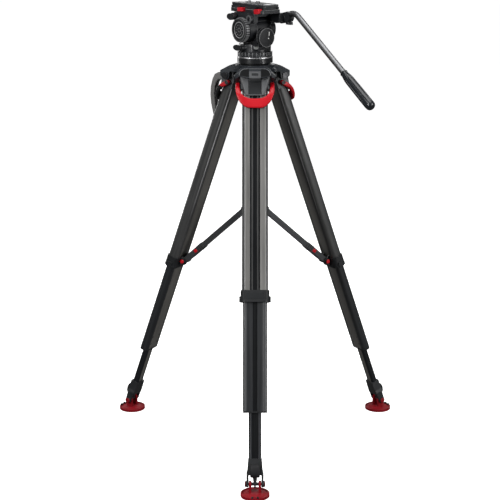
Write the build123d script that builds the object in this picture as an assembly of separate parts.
"""Film camera tripod with a fluid head, three telescoping flat legs and a mid-level spreader.

Millimetres, +Z up, origin on the floor under the crown. The front leg points to -Y.
A leg is drawn pointing to +X and then turned to its own direction about Z.
The head is drawn looking to +Y and then turned by HEAD_TURN about Z.
"""

import os
from math import atan2, cos, degrees, radians, sin, sqrt

from build123d import *

os.makedirs("parts", exist_ok=True)

# ---- legs: directions, slope and stages -------------------------------------------------
LEGS = {"front": -90.0, "left": 150.0, "right": 30.0}
LEG_SLOPE = 20.3  # from the vertical
LEG_TOP_R = 57.0  # a point on the leg's centre line, near the crown
LEG_TOP_Z = 952.0
HINGE_R = 57.0
HINGE_Z = 966.0
HINGE_PIN_R = 5.0
RUN = 0.05  # radial clearance of a turning pin

UPPER_W, UPPER_D, UPPER_CORNER = 64.0, 30.0, 10.0
UPPER_BORE_W, UPPER_BORE_D, UPPER_BORE_CORNER = 60.0, 24.0, 7.4
UPPER_FROM, UPPER_TO = 18.0, 536.0  # distances down the leg
MIDDLE_W, MIDDLE_D, MIDDLE_CORNER = 59.0, 23.0, 6.6
MIDDLE_BORE_W, MIDDLE_BORE_D, MIDDLE_BORE_CORNER = 55.0, 18.6, 4.6
MIDDLE_FROM, MIDDLE_TO = 330.0, 809.0
LOWER_W, LOWER_D, LOWER_CORNER = 31.0, 16.0, 5.5
LOWER_BORE_W, LOWER_BORE_D, LOWER_BORE_CORNER = 25.0, 10.0, 3.0
LOWER_FROM, LOWER_TO = 490.0, 930.0
CHANNEL_DEPTH = 1.2  # shallow channel down the outer face of each tube

# ---- shoulder and brake lever -----------------------------------------------------------
HEAD_R = 15.0  # rounded top of the shoulder, round the hinge
HEAD_HALF = 36.8
BLOCK_HALF = 34.6
BLOCK_FRONT = 17.0
PLATE_FRONT = 20.5
LEVER_X, LEVER_Z = -3.4, -3.5  # lever pivot, in the leg's own frame
LEVER_PIN_R = 3.5
LEVER_IN, LEVER_OUT = 37.2, 49.0
BAR_IN, BAR_OUT = 16.2, 24.0

# ---- crown and bowl ---------------------------------------------------------------------
BOWL_Z = 1001.0
BOWL_R = 38.0
BOWL_SHELL_R = 43.5
BALL_R = 37.5
RIM_R = 50.0
RIM_Z = 993.0
LOBE_HALF = 50.0
EAR_IN = 40.2
CROWN_R = 87.5
LATCH_HALF = 14.3

# ---- foot -------------------------------------------------------------------------------
FOOT_DOWN = 983.0  # pad hinge, distance down the leg
PAD_R = 35.2
PAD_PIN_R = 4.0

# ---- spreader ---------------------------------------------------------------------------
CLIP_R, CLIP_Z = 213.0, 455.0
HUB_R, HUB_Z = 26.0, 618.0
ARM_HALF, ARM_THICK = 8.2, 13.0
SLEEVE_HALF, SLEEVE_THICK, SLEEVE_LEN = 9.4, 15.6, 78.0
CLIP_PIN_R = 4.0

# ---- head -------------------------------------------------------------------------------
HEAD_TURN = 37.0
TILT_Z = 1080.0
BARREL_R = 29.0
BLOCK_X0, BLOCK_X1 = -15.0, 27.0
CHEEK_R = 31.0
DIAL_R = 30.0
LEFT_CHEEK = (-36.3, -15.5)
RIGHT_CHEEK = (27.5, 40.5)
AXLE_R = 8.0
PLATE_HALF, PLATE_LONG = 24.0, 134.0
ROSETTE_Y, ROSETTE_Z = -50.0, 1108.0
FREE_Y = -31.0  # rosette without a bar
BAR_X = 53.0
BAR_R = 7.4
GRIP_LONG = 127.0


# ---- helpers ----------------------------------------------------------------------------
def box(x0, x1, y0, y1, z0, z1):
    """A block between the given limits."""
    middle = Pos((x0 + x1) / 2, (y0 + y1) / 2, (z0 + z1) / 2)
    return middle * Box(x1 - x0, y1 - y0, z1 - z0)


def rod_x(r, x0, x1, y=0.0, z=0.0):
    """A cylinder along X."""
    return Pos((x0 + x1) / 2, y, z) * Rot(0, 90, 0) * Cylinder(r, x1 - x0)


def rod_y(r, y0, y1, x=0.0, z=0.0):
    """A cylinder along Y."""
    return Pos(x, (y0 + y1) / 2, z) * Rot(90, 0, 0) * Cylinder(r, y1 - y0)


def rod_z(r, z0, z1, x=0.0, y=0.0):
    """A cylinder along Z."""
    return Pos(x, y, (z0 + z1) / 2) * Cylinder(r, z1 - z0)


def prism_xz(points, y0, y1):
    """A polygon drawn in X and Z, carried from y0 to y1."""
    solid = extrude(Polygon(*points, align=None), amount=y1 - y0, dir=(0, 0, 1))
    return Pos(0, y1, 0) * Rot(90, 0, 0) * solid


def prism_yz(points, x0, x1):
    """A polygon drawn in Y and Z, carried from x0 to x1."""
    face = Plane.YZ * Polygon(*points, align=None)
    return Pos(x0, 0, 0) * extrude(face, amount=x1 - x0, dir=(1, 0, 0))


def flat_bar(depth, width, corner, down0, down1):
    """A rounded flat bar along the leg, between two distances down it."""
    outline = RectangleRounded(depth, width, corner)
    return Pos(0, 0, -down1) * extrude(outline, amount=down1 - down0)


def both(solid):
    """The solid and its mirror image across Y = 0."""
    return solid + mirror(solid, about=Plane.XZ)


def round_edges(solid, edges, radius):
    """Rounds the edges, and steps down to a smaller radius where the shape needs it."""
    for size in (radius, radius * 0.6, radius * 0.3):
        try:
            done = fillet(edges, size)
            if done.is_valid:
                return done
        except Exception:
            continue
    return solid


SLOPE_S, SLOPE_C = sin(radians(LEG_SLOPE)), cos(radians(LEG_SLOPE))
LEG = Pos(LEG_TOP_R, 0, LEG_TOP_Z) * Rot(0, -LEG_SLOPE, 0)


def into_leg(r, z):
    """The leg's own X and Z of a point given by its distance from the axis and its height."""
    dr, dz = r - LEG_TOP_R, z - LEG_TOP_Z
    return dr * SLOPE_C + dz * SLOPE_S, -dr * SLOPE_S + dz * SLOPE_C


def out_of_leg(x, z):
    """The distance from the axis and the height of a point in the leg's own frame."""
    return LEG_TOP_R + x * SLOPE_C - z * SLOPE_S, LEG_TOP_Z + x * SLOPE_S + z * SLOPE_C


HX, HZ = into_leg(HINGE_R, HINGE_Z)
CX, CZ = into_leg(CLIP_R, CLIP_Z)
FOOT_R, FOOT_Z = out_of_leg(0, -FOOT_DOWN)

nodes = {}


# ---- crown ------------------------------------------------------------------------------
ROOF = [(20, 993), (46, 993), (56, 989.5), (89, 968.5), (86.3, 966), (64, 976), (20, 976)]
EAR = [(46, 966), (46, 988), (58, 988), (80, 974), (76, 968), (66.5, 960.5)]
HIP = [(20, 993), (34, 987.5), (50.5, 972), (60, 972), (60, 1010), (20, 1010)]
SADDLE = [(20, 993), (50.5, 984), (60, 984), (60, 1010), (20, 1010)]  # between two lobes
HOLLOW = [
    (40.5, 981),
    (57, 982),
    (64, 981),
    (86.6, 967.2),
    (100, 955),
    (100, 900),
    (30, 900),
    (30, 962),
    (36.5, 975),
]


def crown_lobe():
    """One lobe: sloping roof, two ears for the hinge pin, and the slot of the latch."""
    roof = prism_xz(ROOF, -LOBE_HALF, LOBE_HALF)
    tops = [e for e in roof.edges() if abs(abs(e.center().Y) - LOBE_HALF) < 0.01 and e.center().Z > 978]
    slopes = [e for e in tops if e.center().X > 51 and e.length > 12]
    roof = round_edges(roof, slopes, 6)
    ear = prism_xz(EAR, EAR_IN, LOBE_HALF) + rod_y(11, EAR_IN, LOBE_HALF, HINGE_R, HINGE_Z)
    lobe = roof + both(ear)
    lobe -= both(prism_yz(HIP, 33, 110))
    lobe -= both(prism_yz(SADDLE, 10, 33.1))
    lobe -= prism_xz(HOLLOW, -EAR_IN, EAR_IN)
    lobe -= box(65.5, 110, -LATCH_HALF - 0.4, LATCH_HALF + 0.4, 940, 992)
    lobe -= rod_y(HINGE_PIN_R, -60, 60, HINGE_R, HINGE_Z)
    return lobe & rod_z(CROWN_R, 900, 1010)


ring = rod_z(RIM_R, 981, RIM_Z) + Pos(0, 0, BOWL_Z) * Sphere(BOWL_SHELL_R)
crown = ring & rod_z(60, 940, RIM_Z)
for turn in LEGS.values():
    crown += Rot(0, 0, turn) * crown_lobe()
crown -= Pos(0, 0, BOWL_Z) * Sphere(BOWL_R)
crown -= rod_z(24, 900, 980)
crown -= Pos(0, 0, RIM_Z - 1) * Cone(BOWL_R - 0.2, BOWL_R + 1.8, 2.01)
nodes["crown"] = crown

pins = []
for turn in LEGS.values():
    pin = rod_y(HINGE_PIN_R, -50, 50, HINGE_R, HINGE_Z)
    pin += both(rod_y(7.5, 50, 52.5, HINGE_R, HINGE_Z))
    pins.append(Rot(0, 0, turn) * pin)
nodes["leg_hinge_pins"] = Compound(children=pins)

LATCH = [(70, 983.2), (90, 971), (90.8, 968.6), (89.6, 967.8), (72, 978.4), (70, 979.0)]
for name, turn in LEGS.items():
    latch = prism_xz(LATCH, -LATCH_HALF, LATCH_HALF)
    nodes[f"latch_{name}"] = Rot(0, 0, turn) * latch


# ---- one leg, drawn in its own frame ----------------------------------------------------
def shoulder():
    """Casting between the crown and the upper tube, with the tapered plate on its face."""
    side = [(-15, -18), (BLOCK_FRONT, -18), (BLOCK_FRONT, 12), (HX + HEAD_R, HZ), (HX - HEAD_R, HZ), (-15, 5)]
    solid = prism_xz(side, -BLOCK_HALF, BLOCK_HALF)
    solid += rod_y(HEAD_R, -HEAD_HALF, HEAD_HALF, HX, HZ)
    solid += rod_y(10, -39.7, 39.7, HX, HZ)
    plate = prism_yz([(-38, 13), (-23.5, -35), (23.5, -35), (38, 13)], UPPER_D / 2 + 0.02, PLATE_FRONT)
    plate -= box(0, 30, -17, 17, 6.5, 30)
    plate -= box(19.3, 30, -15.6, 15.6, -31, 2.5)
    solid += plate
    solid += flat_bar(UPPER_BORE_D - 0.4, UPPER_BORE_W - 0.4, UPPER_BORE_CORNER - 0.2, 10, 66)
    solid += both(rod_y(LEVER_PIN_R, BLOCK_HALF - 4, 46, LEVER_X, LEVER_Z))
    return solid - rod_y(HINGE_PIN_R + RUN, -60, 60, HX, HZ)


def stage(depth, width, corner, bore, down0, down1, channel):
    """One hollow tube stage with a shallow channel on its outer face."""
    solid = flat_bar(depth, width, corner, down0, down1)
    solid -= flat_bar(*bore, down0 - 1, down1 + 1)
    groove = box(depth / 2 - CHANNEL_DEPTH, depth, -channel, channel, -down1 - 1, -down0 + 1)
    return solid - groove


def upper_collar():
    """Collar on the lower end of the upper tube, with its ears and the spreader lug."""
    solid = flat_bar(UPPER_D + 5.6, UPPER_W + 6.5, UPPER_CORNER + 2.6, 515, 544.5)
    solid &= box(-40, 16.4, -60, 60, -560, -500) + box(-40, 60, -23.4, 23.4, -560, -522)
    solid += both(box(-7, 7, 30, 38.6, -544, -530))
    solid += flat_bar(UPPER_D + 6.4, UPPER_W + 7.4, UPPER_CORNER + 3, 539.5, 544.5)
    lug = prism_xz([(-14, -544), (-14, -508), (CX + 3, CZ + 7.6), (CX - 4, CZ - 7.4)], 10.0, 14.2)
    lug += rod_y(7.8, 10.0, 14.2, CX, CZ)
    solid += both(lug)
    solid -= flat_bar(UPPER_D, UPPER_W, UPPER_CORNER, 500, UPPER_TO)
    solid -= flat_bar(MIDDLE_D + 0.8, MIDDLE_W + 0.8, MIDDLE_CORNER + 0.3, 530, 560)
    solid -= both(rod_y(CLIP_PIN_R, 0, 20, CX, CZ))
    return solid


def clip_pin():
    """Pin of the spreader arm, with its two round red ends."""
    return rod_y(CLIP_PIN_R, -14.2, 14.2, CX, CZ) + both(rod_y(5.8, 14.2, 19.5, CX, CZ))


def end_bush():
    """Bush that guides the lower tube at the mouth of the middle tube."""
    solid = flat_bar(MIDDLE_D, MIDDLE_W, MIDDLE_CORNER, MIDDLE_TO, MIDDLE_TO + 3.5)
    solid += flat_bar(MIDDLE_BORE_D, MIDDLE_BORE_W, MIDDLE_BORE_CORNER, MIDDLE_TO - 34, MIDDLE_TO)
    return solid - flat_bar(LOWER_D + 0.7, LOWER_W + 0.7, LOWER_CORNER + 0.3, 700, 900)


def foot_fork():
    """Block on the lower tube's end, two fork arms, the pad pin and the spike between them."""
    outline = [(-18.5, -948), (-16.5, -922), (16.5, -922), (18.5, -948), (20.6, -956), (20.6, -962)]
    outline += [(-20.6, -962), (-20.6, -956)]
    solid = prism_yz(outline, -11, 11)
    solid = round_edges(solid, solid.edges().filter_by(Axis.Z), 3)
    arm = prism_xz([(-9, -958), (9, -958), (8, -FOOT_DOWN), (-8, -FOOT_DOWN)], 15.6, 20.6)
    arm += rod_y(8, 15.6, 20.6, 0, -FOOT_DOWN)
    solid += both(arm)
    solid += rod_y(PAD_PIN_R, -20.6, 20.6, 0, -FOOT_DOWN)
    solid += both(rod_y(7.4, 20.6, 23.2, 0, -FOOT_DOWN))
    spike = Pos(0, 0, -978.5) * Rot(180, 0, 0) * Cone(6.4, 1.2, 33)
    solid += spike
    return solid - flat_bar(LOWER_D, LOWER_W, LOWER_CORNER, 900, LOWER_TO)


U_OUT = [(48.4, 5), (48.8, -14), (47, -29), (42, -44), (33.5, -56.5), (21, -66.5)]
U_IN = [(15, -42.5), (26, -37.5), (33.5, -29), (LEVER_IN, -17), (LEVER_IN, 5)]
U_SIDE = [(1.5, -0.5), (15.5, -15.5), (BAR_OUT - 1, -36), (BAR_OUT, -66.8), (BAR_IN, -66.8)]
U_SIDE += [(BAR_IN, -38), (9.5, -24), (-8, -8)]


def brake_lever():
    """Bow round the front of the tube, turning on two stubs of the shoulder."""
    outline = U_OUT + [(-y, z) for y, z in reversed(U_OUT)]
    outline += [(-y, z) for y, z in reversed(U_IN)] + U_IN
    bow = prism_yz(outline, -12, 40)
    side = prism_xz(U_SIDE, -60, 60) + rod_y(6.4, -60, 60, LEVER_X, LEVER_Z)
    bow = bow & side
    return bow - both(rod_y(LEVER_PIN_R + RUN, 30, 46.3, LEVER_X, LEVER_Z))


def foot_pad():
    """Dished pad with two ears on the foot's pin, drawn level on the floor."""
    solid = rod_z(PAD_R, 0, 5) + Pos(0, 0, 7.5) * Cone(29, 17, 5)
    solid += rod_z(PAD_R, 5, 7) - rod_z(PAD_R - 2.6, 4, 8)
    ear = box(-8, 8, 8.7, 14.9, 6, FOOT_Z) + rod_y(8, 8.7, 14.9, 0, FOOT_Z)
    solid += both(ear)
    solid -= rod_y(PAD_PIN_R + RUN, -30, 30, 0, FOOT_Z)
    return Pos(FOOT_R, 0, 0) * solid


def spreader_arm():
    """Channel from the hub and the sleeve that slides on it, with the clip end."""
    run, rise = HUB_R - CLIP_R, HUB_Z - CLIP_Z
    length = sqrt(run * run + rise * rise)
    place = Pos(CLIP_R, 0, CLIP_Z) * Rot(0, degrees(atan2(run, rise)), 0)
    half = ARM_THICK / 2
    channel = box(-half, half, -ARM_HALF, ARM_HALF, 40, length)
    channel += rod_y(7.4, -ARM_HALF, ARM_HALF, 0, length)
    channel -= box(half - 3, half + 1, -ARM_HALF + 2.4, ARM_HALF - 2.4, 84, length - 18)
    thick = SLEEVE_THICK / 2
    sleeve = box(-thick, thick, -SLEEVE_HALF - 0.4, SLEEVE_HALF + 0.4, 26, SLEEVE_LEN)
    sleeve = round_edges(sleeve, sleeve.edges().filter_by(Axis.Z), 2)
    neck = prism_xz([(-6.6, 0), (-thick + 0.4, 28), (thick - 0.4, 28), (6.6, 0)], -SLEEVE_HALF, SLEEVE_HALF)
    neck += rod_y(7.0, -SLEEVE_HALF, SLEEVE_HALF)
    sleeve += neck - box(-20, 20, -4.4, 4.4, 8, 22)
    sleeve -= box(-half, half, -ARM_HALF, ARM_HALF, 40, length)
    sleeve -= rod_y(CLIP_PIN_R + RUN, -20, 20)
    return [place * channel, place * sleeve]


LEG_SHAPES = {
    "shoulder": LEG * shoulder(),
    "upper_tube": LEG
    * stage(
        UPPER_D,
        UPPER_W,
        UPPER_CORNER,
        (UPPER_BORE_D, UPPER_BORE_W, UPPER_BORE_CORNER),
        UPPER_FROM,
        UPPER_TO,
        12.0,
    ),
    "upper_collar": LEG * (upper_collar() + clip_pin()),
    "middle_tube": LEG
    * stage(
        MIDDLE_D,
        MIDDLE_W,
        MIDDLE_CORNER,
        (MIDDLE_BORE_D, MIDDLE_BORE_W, MIDDLE_BORE_CORNER),
        MIDDLE_FROM,
        MIDDLE_TO,
        5.0,
    ),
    "middle_bush": LEG * end_bush(),
    "lower_tube": LEG
    * stage(
        LOWER_D,
        LOWER_W,
        LOWER_CORNER,
        (LOWER_BORE_D, LOWER_BORE_W, LOWER_BORE_CORNER),
        LOWER_FROM,
        LOWER_TO,
        7.2,
    ),
    "foot_fork": LEG * foot_fork(),
    "foot_pad": foot_pad(),
    "brake_lever": LEG * brake_lever(),
}
ARM_SHAPES = spreader_arm()
for name, turn in LEGS.items():
    for key, shape in LEG_SHAPES.items():
        nodes[f"{name}_{key}"] = Rot(0, 0, turn) * shape
    nodes[f"spreader_arm_{name}"] = Compound(children=[Rot(0, 0, turn) * s for s in ARM_SHAPES])

# ---- spreader hub -----------------------------------------------------------------------
hub = rod_z(9.7, HUB_Z - 9, HUB_Z + 13)
hub += rod_z(11, HUB_Z + 13, HUB_Z + 16)
for turn in LEGS.values():
    cheek = box(1.5, HUB_R, 9.2, 12.4, HUB_Z - 9, HUB_Z + 9)
    cheek += rod_y(9, 9.2, 12.4, HUB_R, HUB_Z)
    cheek += rod_y(4.6, 12.4, 14.6, HUB_R, HUB_Z)
    hub += Rot(0, 0, turn) * both(cheek)
nodes["spreader_hub"] = hub

# ---- carry handle on the left leg -------------------------------------------------------
HANDLE_OUT = [(77, 964), (104, 966), (114, 961), (121, 948), (126, 928), (127.5, 908)]
HANDLE_OUT += [(125.5, 886), (121.5, 868), (118, 855), (112, 849)]
HANDLE_IN = [(106, 851), (108.6, 862), (111.5, 874), (114.2, 892), (115, 908), (113.5, 926)]
HANDLE_IN += [(109, 940), (102, 948), (82, 947)]


def carry_handle():
    """Curved bar from the shoulder's plate down to the upper tube, clear of the brake bow."""
    outline = [into_leg(r, z) for r, z in HANDLE_OUT + HANDLE_IN]
    solid = prism_xz(outline, -10, 10)
    long_edges = [e for e in solid.edges() if abs(abs(e.center().Y) - 10) < 0.01]
    solid = round_edges(solid, long_edges, 3)
    foot = box(UPPER_D / 2 + 0.02, 22, -12, 12, -118, -98)
    root = box(PLATE_FRONT + 0.02, 30, -15, 15, -9, 2.8)
    solid += foot + root
    solid -= box(-30, PLATE_FRONT + 0.01, -40, 40, -34.9, 40)
    return solid - box(-30, UPPER_D / 2 + 0.01, -40, 40, -200, -35)


nodes["carry_handle"] = Rot(0, 0, LEGS["left"]) * LEG * carry_handle()

# ---- head, drawn looking to +Y ----------------------------------------------------------
head = {}

ball = (Pos(0, 0, BOWL_Z) * Sphere(BALL_R)) & rod_z(60, 900, BOWL_Z)
ball += rod_z(44.6, 998.0, 1010.5)
ball += rod_z(5, 913, 970)
head["half_ball"] = ball

washer = (Pos(0, 0, BOWL_Z) * Sphere(50)) - (Pos(0, 0, BOWL_Z) * Sphere(44))
washer = washer & (rod_z(31, 940, 985) - rod_z(5, 900, 990))
head["clamp_washer"] = washer

tie_down = rod_z(12, 934, 950) + rod_z(24, 908, 934)
for step in range(6):
    tie_down -= Rot(0, 0, 60 * step) * rod_z(9, 900, 940, 29, 0)
tie_down -= rod_z(5 + RUN, 912, 960)
head["tie_down_handle"] = tie_down

head["pan_base"] = rod_z(44.6, 1010.5, 1013) + rod_z(30, 1013, 1026) + rod_z(14, 1026, 1047)

drag = rod_z(43.4, 1013.3, 1025.8) - rod_z(30.3, 1010, 1030)
for step in range(28):
    drag -= Rot(0, 0, step * 360 / 28) * rod_z(2.0, 1014.8, 1030, 44.2, 0)
head["pan_drag_ring"] = drag

housing = rod_z(40, 1026.3, 1045)
housing -= box(-28, 28, -60, -36.6, 1031, 1050)
housing += box(BLOCK_X0, BLOCK_X1, -BARREL_R, BARREL_R, 1043, TILT_Z)
housing += rod_x(BARREL_R, BLOCK_X0, BLOCK_X1, 0, TILT_Z)
housing += rod_y(9, -37.3, -20, 0, 1062)
housing += rod_y(5, -46, -30, 0, 1062)
housing += rod_x(8, -41, -20, -6, 1036)
housing += rod_x(4, -47, -30, -6, 1036)
housing -= rod_z(14 + RUN, 1020, 1047.5)
housing -= rod_x(AXLE_R + RUN, -60, 60, 0, TILT_Z)
housing -= rod_x(22, -8, 20, 0, TILT_Z)
vial_axis = Rot(0, 0, -123.5) * Pos(38.5, 0, 1037) * Rot(0, 55, 0)
housing += vial_axis * Cylinder(6.8, 6)
housing -= vial_axis * Pos(0, 0, 1.5) * Cylinder(5, 3.01)
head["pan_housing"] = housing

head["bubble_level"] = vial_axis * (Pos(0, 0, 1.5) * Cylinder(4.9, 2.8))

damper = rod_x(21.8, -7.7, 19.7, 0, TILT_Z) - rod_x(AXLE_R + RUN, -60, 60, 0, TILT_Z)
head["fluid_damper"] = damper

axle = rod_x(AXLE_R, LEFT_CHEEK[0], RIGHT_CHEEK[1], 0, TILT_Z)
axle += rod_x(6, LEFT_CHEEK[0] - 11, LEFT_CHEEK[0], 0, TILT_Z)
head["tilt_axle"] = axle

pan_lever = rod_x(7.5, -49.5, -41.3, -6, 1036)
paddle = Pos(-47.8, 7, 1036) * Rot(0, 90, 0) * extrude(Ellipse(7.4, 16), amount=3.9, both=True)
pan_lever += paddle
pan_lever -= rod_x(4 + RUN, -47.3, -30, -6, 1036)
head["pan_brake_lever"] = pan_lever

rear_knob = rod_y(23.5, -49, -37.8, 0, 1062)
for step in range(20):
    turn = radians(step * 18)
    rear_knob -= rod_y(1.3, -49, -40.5, 23.9 * cos(turn), 1062 + 23.9 * sin(turn))
rear_knob -= rod_y(5 + RUN, -46.3, -30, 0, 1062)
head["counterbalance_knob"] = rear_knob


def cheek(x0, x1):
    """One side of the tilting yoke."""
    side = rod_x(CHEEK_R, x0, x1, 0, TILT_Z)
    return side + box(x0, x1, -28, 38, TILT_Z + 8, 1122)


yoke = cheek(*LEFT_CHEEK) + cheek(*RIGHT_CHEEK)
yoke -= prism_yz([(28, 1060), (42, 1060), (42, 1106), (30.5, 1098)], -60, 60)
yoke += box(LEFT_CHEEK[0], RIGHT_CHEEK[1], -28, 34, 1112.2, 1122)
skirt = rod_x(33.4, BLOCK_X0 - 1, BLOCK_X1 + 1, 0, TILT_Z) - rod_x(29.6, -60, 60, 0, TILT_Z)
yoke += skirt & box(-60, 60, -25, 18, TILT_Z + 20, 1122)
yoke += box(LEFT_CHEEK[0], -23.5, -43, 0, 1100, 1122)
yoke += box(RIGHT_CHEEK[0], RIGHT_CHEEK[1], -62, 0, 1100, 1122)
yoke += rod_x(10.4, -43, -24, FREE_Y, ROSETTE_Z)
yoke += rod_x(11.5, 28, 42, ROSETTE_Y, ROSETTE_Z)
yoke += rod_x(27, RIGHT_CHEEK[1], RIGHT_CHEEK[1] + 4.5, 0, TILT_Z)
yoke -= box(BLOCK_X0 - 0.5, BLOCK_X1 + 0.5, -29.5, 29.5, 1040, TILT_Z)
yoke -= rod_x(BARREL_R + 0.6, BLOCK_X0 - 0.5, BLOCK_X1 + 0.5, 0, TILT_Z)
yoke -= rod_x(AXLE_R, LEFT_CHEEK[0], RIGHT_CHEEK[1], 0, TILT_Z)
yoke -= rod_x(3, -50, -31.5, FREE_Y, ROSETTE_Z)
yoke += rod_x(4.5, -45, -36, 30, 1113)
head["tilt_body"] = yoke

dial = rod_x(DIAL_R, -50, LEFT_CHEEK[0] - 0.5, 0, TILT_Z)
dial -= rod_x(25.5, -51, -49, 0, TILT_Z)
for step in range(30):
    turn = radians(step * 12)
    dial -= rod_x(1.2, -48.5, -38, (DIAL_R + 0.4) * cos(turn), TILT_Z + (DIAL_R + 0.4) * sin(turn))
dial -= rod_x(6 + RUN, LEFT_CHEEK[0] - 11.3, -30, 0, TILT_Z)
head["tilt_dial"] = dial

tilt_lever = rod_x(7.6, -48.5, LEFT_CHEEK[0] - 0.5, 30, 1113)
paddle = Pos(-46.5, 34, 1110.6) * Rot(0, 90, 0) * extrude(Ellipse(8.3, 14.5), amount=5.5, both=True)
tilt_lever += paddle
tilt_lever -= rod_x(4.5 + RUN, -45.3, -30, 30, 1113)
head["tilt_brake_lever"] = tilt_lever

bed = box(-30, 30, -66, 64, 1122, 1131)
bed = round_edges(bed, bed.edges().filter_by(Axis.Z), 6)
rail = prism_xz([(21.6, 1131), (29.5, 1131), (29.5, 1137), (19.4, 1137)], -66, 64)
rails = rail + mirror(rail, about=Plane.YZ)
bed += rails & rod_z(66, 1131, 1137)
bed -= box(-31, -22, -62, -42, 1120, 1140)
bed -= box(-31, -25, 1, 25, 1124, 1140)
head["platform"] = bed

foot = [(-21.2, 1131.2), (-19.0, 1137.3), (19.0, 1137.3), (21.2, 1131.2)]
plate = prism_xz(foot, -60, 60)
slab = box(-PLATE_HALF, PLATE_HALF, -PLATE_LONG / 2, PLATE_LONG / 2, 1137.3, 1144)
slab = round_edges(slab, slab.edges().filter_by(Axis.Z), 5)
plate += slab
slot = box(-5, 5, -40, 40, 1128, 1146) + box(-8.2, 8.2, -44, 44, 1128, 1138.4)
plate -= slot
plate -= both(box(-19, -9, 30, 56, 1143.2, 1146)) + both(box(9, 19, 30, 56, 1143.2, 1146))
head["camera_plate"] = plate


def camera_screw(r, neck, y):
    """A captive screw with a thin neck, so that it slides in the slot but stays in it."""
    screw = rod_z(7.6, 1132.4, 1138.4, 0, y) + rod_z(neck, 1138, 1144.2, 0, y)
    return screw + rod_z(r, 1144, 1149.5, 0, y)


big_screw = camera_screw(4.7625, 4.0, -12)
small_screw = camera_screw(3.175, 2.6, 22)
head["camera_screws"] = big_screw + small_screw

lock = box(-38.5, -25.6, 2, 24, 1125, 1133.5)
lock = round_edges(lock, lock.edges().filter_by(Axis.Z), 3)
head["plate_lock_lever"] = lock
button = box(-36.5, -24, -60.6, -43, 1122.4, 1133.6)
button = round_edges(button, button.edges().filter_by(Axis.X), 3)
head["plate_release_button"] = button

# ---- pan bar ----------------------------------------------------------------------------
clamp = rod_x(13, 42.4, 59.5, ROSETTE_Y, ROSETTE_Z)
clamp += prism_yz([(-52, 1121), (-70, 1125.5), (-81, 1121), (-81, 1108), (-76, 1101), (-52, 1101)], 45, 60.5)
BEND = (-92.0, 1125.0)
TIP = (-380.0, 928.0)
START = (-56.0, 1112.5)
path = FilletPolyline((BAR_X, *START), (BAR_X, *BEND), (BAR_X, *TIP), radius=34)
start_plane = Plane(origin=(BAR_X, *START), z_dir=(0, BEND[0] - START[0], BEND[1] - START[1]))
bar_tube = sweep(start_plane * Circle(BAR_R), path=path)
clamp -= bar_tube
clamp -= rod_z(3.2, 1085, 1107.6, BAR_X, -71)
head["pan_bar_clamp"] = clamp
head["pan_bar_tube"] = bar_tube

bar_knob = rod_z(3.15, 1095, 1107.3, BAR_X, -71) + rod_z(7.5, 1094, 1100.4, BAR_X, -71)
wing = box(BAR_X - 4.5, BAR_X + 4.5, -81.5, -60.5, 1093, 1099.4)
bar_knob += round_edges(wing, wing.edges().filter_by(Axis.Z), 3)
head["pan_bar_knob"] = bar_knob

grip_place = Plane(origin=(BAR_X, *TIP), z_dir=(0, BEND[0] - TIP[0], BEND[1] - TIP[1]), x_dir=(1, 0, 0))


def grip_outline(r):
    """A round outline with three soft flats."""
    corners = []
    for step in range(3):
        turn = radians(90 + 120 * step)
        corners.append(Pos(0.16 * r * cos(turn), 0.16 * r * sin(turn)) * Circle(0.84 * r))
    return make_hull(Sketch(children=corners).edges())


GRIP_SECTIONS = [(-6, 8.0), (-1, 11.6), (5, 12.9), (92, 12.4), (GRIP_LONG - 10, 9.2)]
grip = loft([grip_place * Pos(0, 0, far) * grip_outline(r) for far, r in GRIP_SECTIONS], ruled=True)
grip -= bar_tube
head["pan_bar_grip"] = grip

for name, shape in head.items():
    nodes[name] = Rot(0, 0, HEAD_TURN) * shape

# ---- write every sub-part ---------------------------------------------------------------
for name, shape in nodes.items():
    export_step(shape, f"parts/{name}.step")
    box_ = shape.bounding_box()
    print(name, len(shape.solids()), [round(v, 1) for v in (*box_.min, *box_.max)])
print(len(nodes), "sub-parts")
